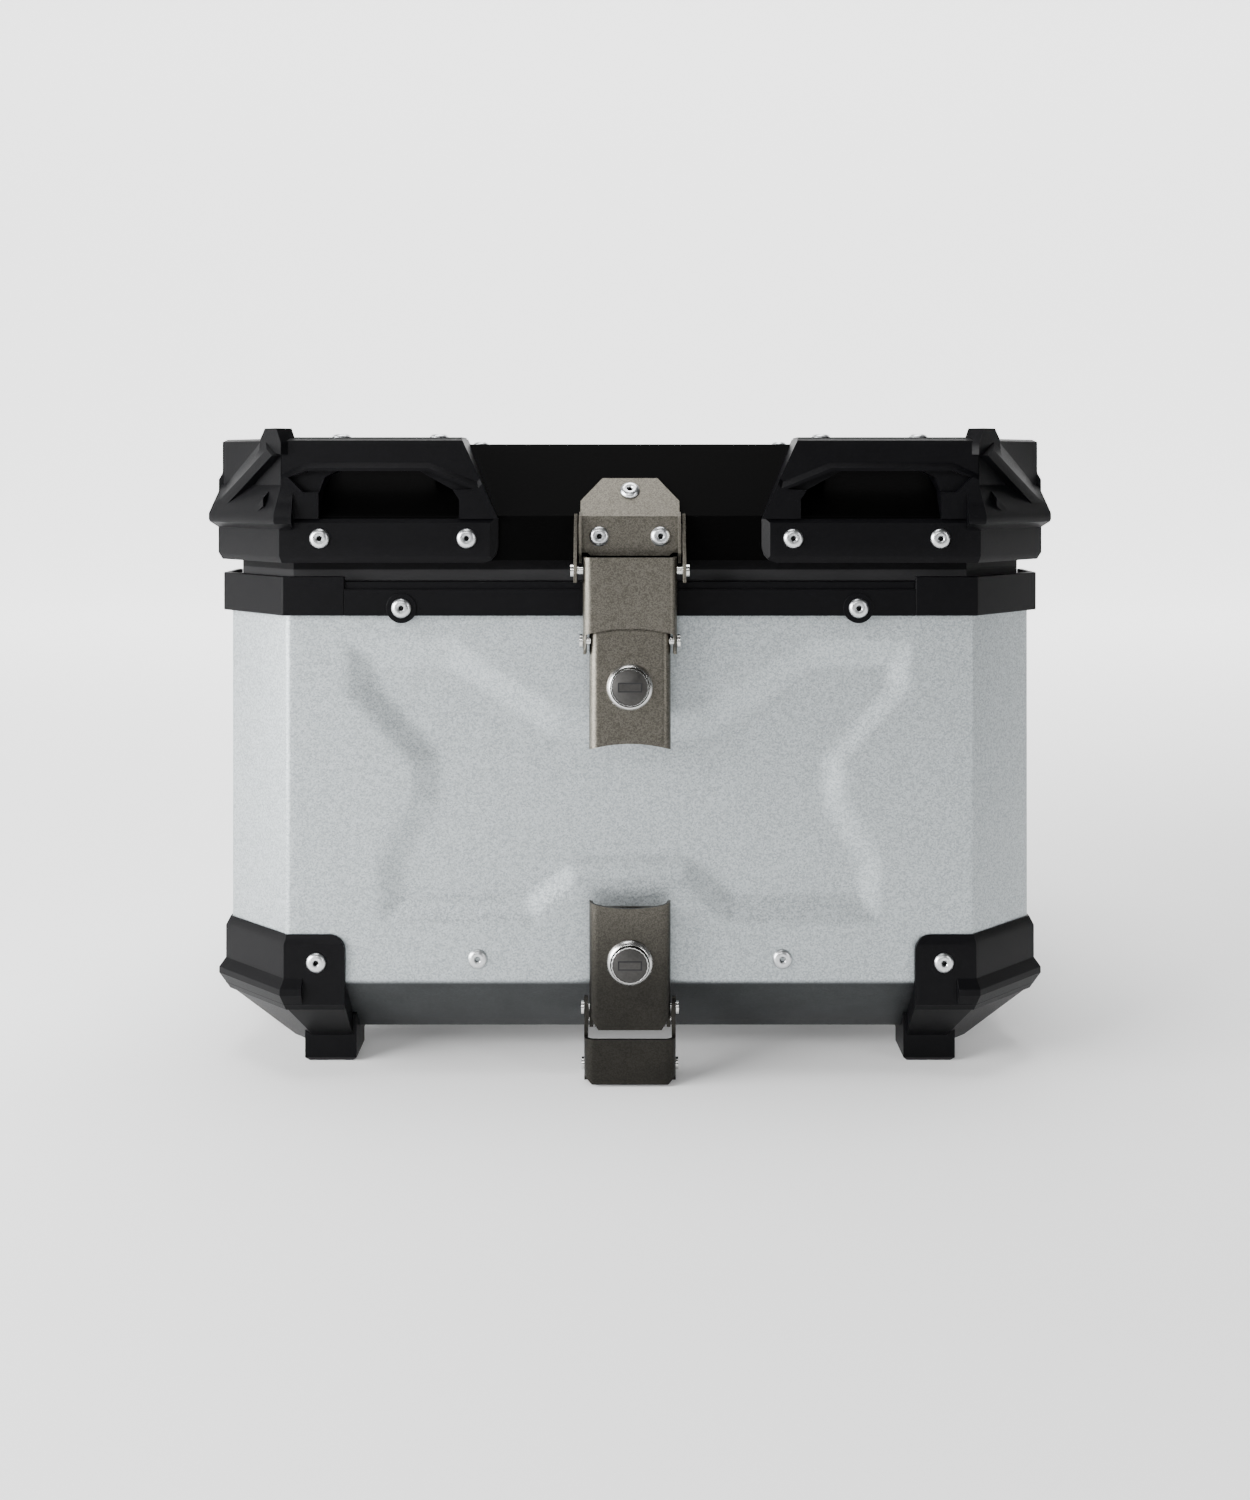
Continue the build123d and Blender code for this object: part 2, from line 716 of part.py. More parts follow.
link_top_z = 256.2
link_low_z = 222.0
link_depth = 12.5
with BuildPart() as latch_link:
    link_end = Plane(origin=(0, front_y - link_face_out, 209.5), x_dir=(-1, 0, 0), z_dir=(0, 0, 1))
    with BuildSketch(link_end):
        channel(link_width, link_depth, 4.5)
    extrude(amount=link_top_z - 209.5)
    # the web stops above the lever, on a shallow arc
    arc_radius = 75.0
    with BuildSketch(wall_plane(link_face_out + 1.0, 0)):
        with Locations((0, 212.0)):
            Rectangle(link_width - 3.0, 20.0)
        with Locations((0, link_low_z + 0.2 - arc_radius)):
            Circle(arc_radius, mode=Mode.INTERSECT)
    extrude(amount=-6.0, mode=Mode.SUBTRACT)
    with BuildSketch(Plane.YZ.offset(-30)):
        with Locations((front_y - link_pin_out, link_pin_z), (front_y - link_pin_out, lever_pin_z)):
            Circle(hole_radius)
    extrude(amount=60, mode=Mode.SUBTRACT)
    # the legs end in rounded lugs around the lever pin
    with BuildSketch(Plane.YZ.offset(-30)):
        Polygon(
            (front_y - link_face_out - 1, 209.0),
            (front_y - link_face_out - 1, 217.5),
            (front_y - link_pin_out - 3.4, 209.0),
            align=None,
        )
    extrude(amount=60, mode=Mode.SUBTRACT)
write(latch_link, "latch_link")

with BuildPart() as lever_pin:
    cross_pin(link_pin_out, lever_pin_z, 23.0, 3.4, 1.4)
write(lever_pin, "lever_pin")

tilt = radians(lever_tilt)
lever_out = (0, -cos(tilt), sin(tilt))
lever_up = (0, sin(tilt), cos(tilt))
lever_origin = (0, front_y - link_pin_out, lever_pin_z)


def lever_frame(along, out):
    """A plane square to the lid latch's lever face, at a place on the lever."""
    origin = [o + along * a + out * b for o, a, b in zip(lever_origin, lever_up, lever_out)]
    return Plane(origin=origin, x_dir=(1, 0, 0), z_dir=lever_out)


def curved_end(plane, along, way):
    """Cut a lever's end to a hollow arc; way is the direction off the end."""
    end_radius = 71.9
    with BuildSketch(plane) as shape:
        with Locations((0, along + way * (end_radius - 2.8))):
            Circle(end_radius)
    extrude(shape.sketch, amount=14.0, both=True, mode=Mode.SUBTRACT)


lever_top = 6.4
with BuildPart() as lock_lever:
    start = lever_frame(-lever_reach, lever_face)
    with BuildSketch(Plane(origin=start.origin, x_dir=(-1, 0, 0), z_dir=lever_up)):
        channel(lever_width, 10.5, 4.5)
    extrude(amount=lever_reach + lever_top)
    curved_end(lever_frame(0, lever_face), -lever_reach, -1)
    # the legs narrow towards the finger end
    with BuildSketch(Plane.YZ.offset(-30)):
        far_end = lever_frame(-lever_reach - 2, lever_face - 5.5).origin
        back_end = lever_frame(-lever_reach - 2, lever_face - 12).origin
        back_top = lever_frame(-14, lever_face - 12).origin
        near_top = lever_frame(-14, lever_face - 10.6).origin
        points = [(p.Y, p.Z) for p in (far_end, back_end, back_top, near_top)]
        Polygon(*points, align=None)
    extrude(amount=60, mode=Mode.SUBTRACT)
    with BuildSketch(Plane.YZ.offset(-30)):
        with Locations((front_y - link_pin_out, lever_pin_z)):
            Circle(hole_radius)
    extrude(amount=60, mode=Mode.SUBTRACT)
    with BuildSketch(lever_frame(-lock_drop, lever_face + 1)):
        Circle(7.6)
    extrude(amount=-6, mode=Mode.SUBTRACT)
write(lock_lever, "lock_lever")

with BuildPart() as lever_nose:
    with BuildSketch(Plane.YZ.offset(-11.0)):
        with Locations((front_y - link_pin_out, lever_pin_z)):
            Circle(4.2)
        Polygon(
            (front_y - link_pin_out, 211.6),
            (front_y - link_pin_out, 213.0),
            (front_y - 5.0, 212.2),
            (front_y - 5.0, 208.8),
            (front_y - link_pin_out + 2, 210.5),
            align=None,
        )
        with Locations((front_y - link_pin_out, lever_pin_z)):
            Circle(hole_radius, mode=Mode.SUBTRACT)
    extrude(amount=22.0)
    # flat against the back of the lever's face
    with BuildSketch(lever_frame(0, lever_face - steel - 0.02)):
        Rectangle(30.0, 30.0)
    extrude(amount=8.0, mode=Mode.SUBTRACT)
write(lever_nose, "lever_nose")

with BuildPart() as body_catch:
    block((-15.0, front_y - steel, 174.0), (15.0, front_y, 220.0))
    block((-12.5, front_y - 8.0, 212.6), (12.5, front_y - steel, 214.6))
    for side in (-1, 1):
        post = sorted((side * 15.0, side * 16.8))
        lip = sorted((side * 9.6, side * 16.8))
        block((post[0], front_y - 8.8, 187.0), (post[1], front_y, 199.0))
        block((lip[0], front_y - 8.8, 187.0), (lip[1], front_y - 7.3, 199.0))
    rivet_holes(catch_seats)
write(body_catch, "body_catch")


# ---------------------------------------------------------------- locks
def lock_ring(plane):
    """The bright conical collar around a lock."""
    with BuildSketch(plane) as shape:
        Circle(11.3)
    extrude(shape.sketch, amount=2.6, taper=28)
    with BuildSketch(plane) as shape:
        Circle(barrel_radius + 0.3)
    extrude(shape.sketch, amount=4.0, mode=Mode.SUBTRACT)


def lock_housing(plane, back):
    """The lock's fixed body behind the lever, with its nut."""
    with BuildSketch(plane) as shape:
        Circle(7.5)
    extrude(shape.sketch, amount=-back)
    with BuildSketch(plane.offset(-steel)) as shape:
        RegularPolygon(9.6, 6)
    extrude(shape.sketch, amount=-2.5)
    with BuildSketch(plane) as shape:
        Circle(6.2)
    extrude(shape.sketch, amount=-back - 1, mode=Mode.SUBTRACT)


def lock_barrel(plane, proud, back):
    """The turning barrel with its head and keyway."""
    with BuildSketch(plane) as shape:
        Circle(barrel_radius)
    extrude(shape.sketch, amount=proud)
    chamfer(plane_edges(plane, proud), length=0.6)
    with BuildSketch(plane) as shape:
        Circle(6.0)
    extrude(shape.sketch, amount=-back)
    with BuildSketch(plane.offset(proud - 0.9)) as shape:
        Rectangle(10.0, 2.2)
    extrude(shape.sketch, amount=2.0, mode=Mode.SUBTRACT)


def plane_edges(plane, height):
    """The round edges that lie at a height over a plane."""
    builder = BuildPart._get_context(None)
    return [e for e in builder.edges() if abs(plane.to_local_coords(e.center()).Z - height) < 0.01]


def lock_cam(plane, start, end):
    """The tongue behind the barrel; it points up the lever when unlocked."""
    with BuildSketch(plane.offset(start)) as shape:
        Circle(5.0)
        with Locations((0, 6.5)):
            Rectangle(7.0, 13.0)
    extrude(shape.sketch, amount=end - start)


upper_lock = lever_frame(-lock_drop, lever_face)
with BuildPart() as upper_lock_ring:
    lock_ring(upper_lock)
write(upper_lock_ring, "upper_lock_ring")
with BuildPart() as upper_lock_housing:
    lock_housing(upper_lock, 12.6)
write(upper_lock_housing, "upper_lock_housing")
with BuildPart() as upper_lock_barrel:
    lock_barrel(upper_lock, 4.2, 13.1)
write(upper_lock_barrel, "upper_lock_barrel")
with BuildPart() as upper_lock_cam:
    lock_cam(upper_lock, -14.7, -13.1)
write(upper_lock_cam, "upper_lock_cam")

# ---------------------------------------------------------------- mounting latch
mount_tilt = radians(mount_lever_tilt)
mount_out = (0, -cos(mount_tilt), -sin(mount_tilt))
mount_up = (0, -sin(mount_tilt), cos(mount_tilt))
mount_origin = (0, front_y - mount_pivot_out, mount_pivot_z)


def mount_frame(along, out):
    """A plane square to the mounting lever's face, at a place on the lever."""
    origin = [o + along * a + out * b for o, a, b in zip(mount_origin, mount_up, mount_out)]
    return Plane(origin=origin, x_dir=(1, 0, 0), z_dir=mount_out)


base_half = 17.2
with BuildPart() as mount_latch_base:
    block((-base_half, front_y - 2.0, 48.5), (base_half, front_y, 84.0))
    for side in (-1, 1):
        with BuildSketch(Plane.YZ.offset(side * (base_half - 1.0) - 1.0)):
            Polygon(
                (front_y, 84.0),
                (front_y - 5.0, 84.0),
                (front_y - mount_pivot_out - 3.8, mount_pivot_z + 6.0),
                (front_y - mount_pivot_out - 3.8, mount_pivot_z - 2.0),
                (front_y - mount_pivot_out - 1.5, mount_pivot_z - 3.8),
                (front_y - mount_pivot_out + 3.0, mount_pivot_z - 3.8),
                (front_y, 48.5),
                align=None,
            )
            with Locations((front_y - mount_pivot_out, mount_pivot_z)):
                Circle(hole_radius, mode=Mode.SUBTRACT)
        extrude(amount=2.0)
        lip = sorted((side * 9.6, side * 15.4))
        block((lip[0], front_y - 8.8, 55.0), (lip[1], front_y - 7.3, 67.0))
    rivet_holes(base_seats)
write(mount_latch_base, "mount_latch_base")

with BuildPart() as mount_pivot_pin:
    cross_pin(mount_pivot_out, mount_pivot_z, 19.75, pin_radius, 0.4)
write(mount_pivot_pin, "mount_pivot_pin")

with BuildPart() as mount_lever:
    mount_low = 3.4
    with BuildSketch(Plane(origin=mount_frame(-mount_low, mount_lever_face).origin, x_dir=(-1, 0, 0), z_dir=mount_up)):
        channel(lever_width, 10.6, 4.5)
    extrude(amount=mount_low + mount_lever_reach)
    curved_end(mount_frame(0, mount_lever_face), mount_lever_reach, 1)
    with BuildSketch(Plane.YZ.offset(-30)):
        corners = (
            mount_frame(mount_lever_reach + 2, mount_lever_face - 5.5),
            mount_frame(mount_lever_reach + 2, mount_lever_face - 12),
            mount_frame(16, mount_lever_face - 12),
            mount_frame(16, mount_lever_face - 10.7),
        )
        Polygon(*[(c.origin.Y, c.origin.Z) for c in corners], align=None)
    extrude(amount=60, mode=Mode.SUBTRACT)
    with BuildSketch(Plane.YZ.offset(-30)):
        with Locations((front_y - mount_pivot_out, mount_pivot_z), (front_y - claw_pin_out, claw_pin_z)):
            Circle(hole_radius)
    extrude(amount=60, mode=Mode.SUBTRACT)
    # the lower corners of the face are taken off
    with BuildSketch(mount_frame(0, mount_lever_face + 1)):
        for side in (-1, 1):
            Polygon(
                (side * 20.5, -4.0),
                (side * 15.0, -4.0),
                (side * 20.5, 5.0),
                align=None,
            )
    extrude(amount=-5.0, mode=Mode.SUBTRACT)
    with BuildSketch(mount_frame(mount_lock_rise, mount_lever_face + 1)):
        Circle(7.6)
    extrude(amount=-6, mode=Mode.SUBTRACT)
write(mount_lever, "mount_lever")

with BuildPart() as claw_pins:
    cross_pin(claw_pin_out, claw_pin_z, 22.4, 3.2, 1.3, lower=17.6)
write(claw_pins, "claw_pins")

with BuildPart() as mount_claw:
    with BuildSketch(Plane(origin=(0, front_y - claw_face_out, claw_bottom_z), x_dir=(-1, 0, 0), z_dir=(0, 0, 1))):
        channel(claw_width, 19.0, 5.0)
    extrude(amount=42.0 - claw_bottom_z)
    # the face stops below the lever; the legs run on up to their pins
    with BuildSketch(Plane.YZ.offset(-30)):
        Polygon(
            (front_y - claw_face_out - 1, claw_top_z),
            (front_y - claw_face_out + 4.6, claw_top_z),
            (front_y - claw_pin_out - 4.0, claw_pin_z - 3.0),
            (front_y - claw_pin_out - 3.6, claw_pin_z + 2.5),
            (front_y - claw_pin_out - 1.0, 41.3),
            (front_y - claw_pin_out - 1.0, 43.0),
            (front_y - claw_face_out - 1, 43.0),
            align=None,
        )
    extrude(amount=60, mode=Mode.SUBTRACT)
    with BuildSketch(Plane.YZ.offset(-30)):
        Polygon(
            (front_y - claw_pin_out + 1.0, 43.0),
            (front_y - claw_pin_out + 1.0, 41.3),
            (front_y - claw_pin_out + 4.2, 38.5),
            (front_y + 3.2, 14.0),
            (front_y + 5.0, 14.0),
            (front_y + 5.0, 43.0),
            align=None,
        )
    extrude(amount=60, mode=Mode.SUBTRACT)
    with BuildSketch(wall_plane(claw_face_out + 1, 0)):
        for side in (-1, 1):
            Polygon(
                (side * 23.0, claw_bottom_z - 1),
                (side * 17.5, claw_bottom_z - 1),
                (side * 23.0, claw_bottom_z + 4.5),
                align=None,
            )
    extrude(amount=-8.0, mode=Mode.SUBTRACT)
    with BuildSketch(Plane.YZ.offset(-30)):
        with Locations((front_y - claw_pin_out, claw_pin_z), (front_y - 2.0, 7.3)):
            Circle(hole_radius)
    extrude(amount=60, mode=Mode.SUBTRACT)
write(mount_claw, "mount_claw")

with BuildPart() as claw_cross_pin:
    cross_pin(2.0, 7.3, 22.4, 3.0, 1.3)
write(claw_cross_pin, "claw_cross_pin")

lower_lock = mount_frame(mount_lock_rise, mount_lever_face)
with BuildPart() as lower_lock_ring:
    lock_ring(lower_lock)
write(lower_lock_ring, "lower_lock_ring")
with BuildPart() as lower_lock_housing:
    lock_housing(lower_lock, 10.2)
write(lower_lock_housing, "lower_lock_housing")
with BuildPart() as lower_lock_barrel:
    lock_barrel(lower_lock, 5.2, 10.7)
write(lower_lock_barrel, "lower_lock_barrel")
with BuildPart() as lower_lock_cam:
    lock_cam(lower_lock, -12.0, -10.7)
write(lower_lock_cam, "lower_lock_cam")

# ---------------------------------------------------------------- rear hinges
knuckle_gap = 0.4
outer_knuckle = (hinge_width - hinge_middle) / 2 - knuckle_gap


def knuckle(x_start, length):
    """One rolled knuckle about the hinge axis, bored for the pin."""
    with BuildSketch(Plane.YZ.offset(x_start)) as shape:
        with Locations((back_y + hinge_out, hinge_z)):
            Circle(hinge_radius)
    extrude(shape.sketch, amount=length)


def pin_bore(x):
    """The hinge's bore, through the piece being built."""
    with BuildSketch(Plane.YZ.offset(x - hinge_width)) as shape:
        with Locations((back_y + hinge_out, hinge_z)):
            Circle(hinge_pin_radius + 0.1)
    extrude(shape.sketch, amount=2 * hinge_width, mode=Mode.SUBTRACT)


for side, word in ((-1, "left"), (1, "right")):
    x = side * hinge_x
    half = hinge_width / 2
    with BuildPart() as body_leaf:
        with BuildSketch(Plane.YZ.offset(x - half)):
            Polygon(
                (back_y, 196.0),
                (back_y + 2.0, 196.0),
                (back_y + 2.0, 222.5),
                (back_y + 6.2, 225.3),
                (back_y + 6.2, 243.4),
                (back_y + 4.2, 243.4),
                (back_y + 4.2, 226.6),
                (back_y, 223.8),
                align=None,
            )
        extrude(amount=hinge_width)
        with BuildSketch(Plane.YZ.offset(x - hinge_middle / 2)):
            Polygon(
                (back_y + 4.2, 243.0),
                (back_y + 6.2, 243.0),
                (back_y + hinge_out + 2.6, hinge_z - 2.0),
                (back_y + hinge_out - 3.0, hinge_z + 0.5),
                align=None,
            )
        extrude(amount=hinge_middle)
        knuckle(x - hinge_middle / 2, hinge_middle)
        pin_bore(x)
        rivet_holes(hinge_body_seats, depth=6.0)
    write(body_leaf, f"hinge_body_leaf_{word}")
    with BuildPart() as lid_leaf:
        block((x - half, back_y + lid_proud, 253.2), (x + half, back_y + lid_proud + 2.0, 274.5))
        for start in (x - half, x + half - outer_knuckle):
            with BuildSketch(Plane.YZ.offset(start)):
                Polygon(
                    (back_y + lid_proud, 253.4),
                    (back_y + lid_proud + 2.0, 255.5),
                    (back_y + hinge_out + 2.2, hinge_z + 2.3),
                    (back_y + hinge_out - 2.6, hinge_z + 1.6),
                    align=None,
                )
            extrude(amount=outer_knuckle)
            knuckle(start, outer_knuckle)
        pin_bore(x)
        rivet_holes(hinge_lid_seats, depth=6.0)
    write(lid_leaf, f"hinge_lid_leaf_{word}")
    with BuildPart() as hinge_pin:
        with BuildSketch(Plane.YZ.offset(x - half)):
            with Locations((back_y + hinge_out, hinge_z)):
                Circle(hinge_pin_radius)
        extrude(amount=hinge_width)
        for start in (x - half - 1.2, x + half):
            with BuildSketch(Plane.YZ.offset(start)):
                with Locations((back_y + hinge_out, hinge_z)):
                    Circle(2.6)
            extrude(amount=1.2)
    write(hinge_pin, f"hinge_pin_{word}")

# ---------------------------------------------------------------- rear mounting hooks
for side, word in ((-1, "left"), (1, "right")):
    x = side * hook_x
    with BuildPart() as mount_hook:
        block((x - 15, hook_y - 16, floor_z - 2.5), (x + 15, hook_y + 16, floor_z))
        block((x - 15, hook_y + 13.5, 2.5), (x + 15, hook_y + 16, floor_z - 2.0))
        block((x - 15, hook_y + 1, 2.5), (x + 15, hook_y + 16, 5.0))
        with BuildSketch(Plane.XY.offset(floor_z - 4.0)):
            with Locations((x, hook_y)):
                Circle(rivet_shank)
        extrude(amount=6.0, mode=Mode.SUBTRACT)
    write(mount_hook, f"mount_hook_{word}")

with BuildPart() as hook_rivets:
    for side in (-1, 1):
        with BuildSketch(Plane.XY.offset(floor_z - 4.3)):
            with Locations((side * hook_x, hook_y)):
                Circle(rivet_head)
        extrude(amount=1.8)
        with BuildSketch(Plane.XY.offset(floor_z - 2.5)):
            with Locations((side * hook_x, hook_y)):
                Circle(rivet_shank)
        extrude(amount=2.5 + sheet)
        with BuildSketch(Plane.XY.offset(floor_z + sheet)):
            with Locations((side * hook_x, hook_y)):
                Circle(rivet_head)
        extrude(amount=1.4)
write(hook_rivets, "hook_rivets")

# ---------------------------------------------------------------- rivet groups
rivet_groups = {
    "wall_rivets": [(protector_seats, 3.0 + sheet), (tub_seats, sheet)],
    "rim_rivets": [(rail_seats, 4.5 + sheet + 2.5)],
    "latch_base_rivets": [(catch_seats, steel + sheet), (base_seats, 2.0 + sheet)],
    "guard_rivets": [(arm_seats, guard_proud - lid_proud + sheet)],
    "guard_top_rivets": [(top_seats, guard_top_z - lid_top_z + sheet)],
    "bracket_rivets": [(bracket_seats, 3.0 + sheet), ([(tongue_seat, slope_normal)], 2.0 + sheet)],
    "hinge_body_rivets": [(hinge_body_seats, 2.0 + sheet)],
    "hinge_lid_rivets": [(hinge_lid_seats, 2.0 + sheet)],
}
for name, rows in rivet_groups.items():
    shapes = [(rivet_shape(grip), seats) for seats, grip in rows]
    with BuildPart() as group:
        for shape, seats in shapes:
            place_rivets(shape, seats)
    write(group, name)
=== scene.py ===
"""The looks of an aluminium motorcycle top case: finishes, moulded shapes, light and camera."""

import json
from math import cos, hypot, pi, radians, sin, tan

import bmesh
import bpy
from mathutils import Matrix, Vector


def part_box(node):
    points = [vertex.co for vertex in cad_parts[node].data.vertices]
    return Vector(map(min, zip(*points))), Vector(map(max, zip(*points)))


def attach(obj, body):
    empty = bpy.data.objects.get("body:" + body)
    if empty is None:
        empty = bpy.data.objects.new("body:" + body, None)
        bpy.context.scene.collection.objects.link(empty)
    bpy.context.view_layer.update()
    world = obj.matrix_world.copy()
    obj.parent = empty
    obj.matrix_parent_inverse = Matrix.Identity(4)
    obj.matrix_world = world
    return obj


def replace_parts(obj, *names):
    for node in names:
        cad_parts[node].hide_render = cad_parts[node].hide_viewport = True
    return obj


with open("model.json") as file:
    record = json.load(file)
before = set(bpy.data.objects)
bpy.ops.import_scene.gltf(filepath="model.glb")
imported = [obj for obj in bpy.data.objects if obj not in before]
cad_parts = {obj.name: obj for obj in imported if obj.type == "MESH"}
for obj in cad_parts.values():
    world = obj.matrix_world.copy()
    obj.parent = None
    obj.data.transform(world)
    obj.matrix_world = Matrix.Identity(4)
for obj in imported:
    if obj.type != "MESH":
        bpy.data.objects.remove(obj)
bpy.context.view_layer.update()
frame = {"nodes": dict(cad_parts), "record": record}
MM = 0.001
WELD = 0.00001  # vertices closer than this are one
CORNERS = ("front_left", "front_right", "rear_left", "rear_right")

tub_low, tub_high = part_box("tub_shell")
middle_y = (tub_low.y + tub_high.y) / 2
front_y = tub_low.y


# ---------------------------------------------------------------- shader maths
class Field:
    """A value that changes over a surface; arithmetic on it adds Math nodes."""

    def __init__(self, finish, socket):
        self.finish = finish
        self.socket = socket

    def math(self, operation, *terms):
        return self.finish.node("ShaderNodeMath", {"operation": operation}, *terms)

    def __add__(self, other):
        return self.math("ADD", self, other)

    __radd__ = __add__

    def __mul__(self, other):
        return self.math("MULTIPLY", self, other)

    __rmul__ = __mul__


class Finish:
    """One procedural material: a Principled shader and what feeds it."""

    def __init__(self, name, **constants):
        self.material = bpy.data.materials.new(name)
        self.material.use_nodes = True
        self.tree = self.material.node_tree
        self.tree.nodes.clear()
        self.shader = self.tree.nodes.new("ShaderNodeBsdfPrincipled")
        output = self.tree.nodes.new("ShaderNodeOutputMaterial")
        self.tree.links.new(self.shader.outputs["BSDF"], output.inputs["Surface"])
        for key, value in constants.items():
            self.feed(key.replace("_", " "), value)
        self.place = self.node("ShaderNodeTexCoord", {}, out="Object")

    def feed(self, socket_name, value):
        self.join(value, self.shader.inputs[socket_name])

    def join(self, value, socket):
        if isinstance(value, Field):
            self.tree.links.new(value.socket, socket)
        else:
            socket.default_value = value

    def node(self, kind, settings, *values, out=0, **named):
        """Add a node: its settings first, then the values or links of its sockets."""
        made = self.tree.nodes.new(kind)
        for key, value in settings.items():
            setattr(made, key, value)
        for index, value in enumerate(values):
            self.join(value, made.inputs[index])
        for key, value in named.items():
            wanted = key.replace("_", " ").lower()
            spot = next(s for s in made.inputs if s.name.lower() == wanted and s.enabled)
            self.join(value, spot)
        return Field(self, made.outputs[out])

    def noise(self, scale, detail=2.0, roughness=0.5):
        """Noise about as wide as 1 / scale metres, from 0 to 1."""
        return self.node(
            "ShaderNodeTexNoise", {}, Vector=self.place, Scale=scale, Detail=detail, Roughness=roughness
        )

    def grains(self, size):
        """Flat speckles of a size in metres, each with its own random value."""
        cells = self.node(
            "ShaderNodeTexVoronoi", {"feature": "F1"}, Vector=self.place, Scale=1 / size, out="Color"
        )
        return self.node("ShaderNodeSeparateColor", {}, cells)

    def band(self, value, low, high):
        """0 below low, 1 above high, eased between."""
        return self.node(
            "ShaderNodeMapRange",
            {"interpolation_type": "SMOOTHSTEP"},
            Value=value,
            From_Min=low,
            From_Max=high,
        )

    def mix(self, factor, first, second):
        made = self.tree.nodes.new("ShaderNodeMix")
        made.data_type = "RGBA"
        for index, value in ((0, factor), (6, first), (7, second)):
            self.join(value, made.inputs[index])
        return Field(self, made.outputs[2])

    def height(self, value, distance, strength=1.0):
        """Raise the surface by a value times a distance in metres."""
        normal = self.node("ShaderNodeBump", {}, Strength=strength, Distance=distance, Height=value)
        self.feed("Normal", normal)


# Painted shade darkens the lowest metal, which is lit less: the heights where it begins and where it is full
FOLD_PAINTED_SHADE = (0.0475, 0.0445)
LATCH_PAINTED_SHADE = (0.13, 0.04)


def silver_sheet():
    """Silver powder coat: bright flakes in a satin grey."""
    f = Finish("silver_flake_coat", Metallic=0.78, Coat_Weight=0.05, Coat_Roughness=0.4)
    flake = f.grains(0.0007)
    fine = f.noise(1300.0, 1.0)
    cloud = f.noise(9.0, 3.0)
    dull = f.noise(38.0, 4.0, 0.6)
    level = flake * 0.45 + fine * 0.55
    dark = (0.265, 0.292, 0.302, 1.0)
    light = (0.49, 0.53, 0.545, 1.0)
    coat = f.mix(f.band(level, 0.12, 0.88), dark, light)
    height = f.node("ShaderNodeSeparateXYZ", {}, f.place, out=2)
    # Painted shade: the silver of the downward-facing fold, below the fold line, is coloured near black in
    # place of its shadow
    painted_shade = f.band(height, *FOLD_PAINTED_SHADE) * (0.88 + 0.08 * dull)
    f.feed("Base Color", f.mix(painted_shade, coat, (0.005, 0.006, 0.007, 1)))
    f.feed("Roughness", 0.34 + 0.12 * level + 0.05 * cloud + 0.04 * dull)
    f.height(level, 0.00007, 0.5)
    return f.material


def black_sheet():
    """Satin black coat on the lid."""
    f = Finish("black_satin_coat", Specular_IOR_Level=0.02)
    peel = f.noise(700.0, 2.0)
    cloud = f.noise(14.0, 3.0)
    f.feed("Base Color", f.mix(cloud, (0.0004, 0.0004, 0.0004, 1), (0.0009, 0.0009, 0.0009, 1)))
    f.feed("Roughness", 0.42 + 0.10 * cloud + 0.05 * peel)
    f.height(peel, 0.00005, 0.5)
    return f.material


def moulded_black():
    """Spark-eroded black nylon."""
    f = Finish("moulded_black_nylon", Specular_IOR_Level=0.09)
    grain = f.noise(1500.0, 2.0, 0.6)
    cloud = f.noise(30.0, 3.0)
    f.feed("Base Color", f.mix(cloud, (0.0010, 0.0010, 0.0014, 1), (0.0022, 0.0022, 0.0028, 1)))
    f.feed("Roughness", 0.34 + 0.14 * grain)
    f.height(grain, 0.00010, 0.65)
    return f.material


def seal_rubber():
    """Matt black rubber with a faint bloom."""
    f = Finish("seal_rubber", Specular_IOR_Level=0.3)
    bloom = f.noise(60.0, 4.0, 0.6)
    f.feed("Base Color", f.mix(bloom, (0.005, 0.005, 0.006, 1), (0.014, 0.014, 0.015, 1)))
    f.feed("Roughness", 0.62 + 0.2 * bloom)
    f.height(f.noise(900.0), 0.00005, 0.5)
    return f.material


def blasted_steel():
    """Bead-blasted stainless: a warm grey full of fine pits."""
    f = Finish("bead_blasted_steel", Metallic=1.0)
    pits = f.grains(0.0005)
    fine = f.noise(1900.0, 2.0, 0.6)
    cloud = f.noise(45.0, 3.0)
    level = 0.5 * pits + 0.5 * fine
    base = f.mix(f.band(level, 0.2, 0.8), (0.088, 0.082, 0.069, 1), (0.155, 0.144, 0.122, 1))
    height = f.node("ShaderNodeSeparateXYZ", {}, f.place, out=2)
    # Painted shade: the steel darkens towards near black lower down, so the lower latch reads as lit less
    # than the upper one
    painted_shade = f.band(height, *LATCH_PAINTED_SHADE) * (0.78 + 0.15 * cloud)
    f.feed("Base Color", f.mix(painted_shade, base, (0.010, 0.010, 0.0095, 1)))
    f.feed("Roughness", 0.30 + 0.14 * level + 0.06 * cloud)
    f.height(level, 0.00006, 0.6)
    return f.material


def bright_steel():
    """Turned stainless pins and lock collars."""
    f = Finish("turned_steel", Metallic=1.0)
    haze = f.noise(160.0, 3.0)
    f.feed("Base Color", f.mix(haze, (0.58, 0.58, 0.57, 1), (0.74, 0.74, 0.72, 1)))
    f.feed("Roughness", 0.18 + 0.14 * haze)
    f.height(f.noise(2600.0), 0.00002, 0.4)
    return f.material


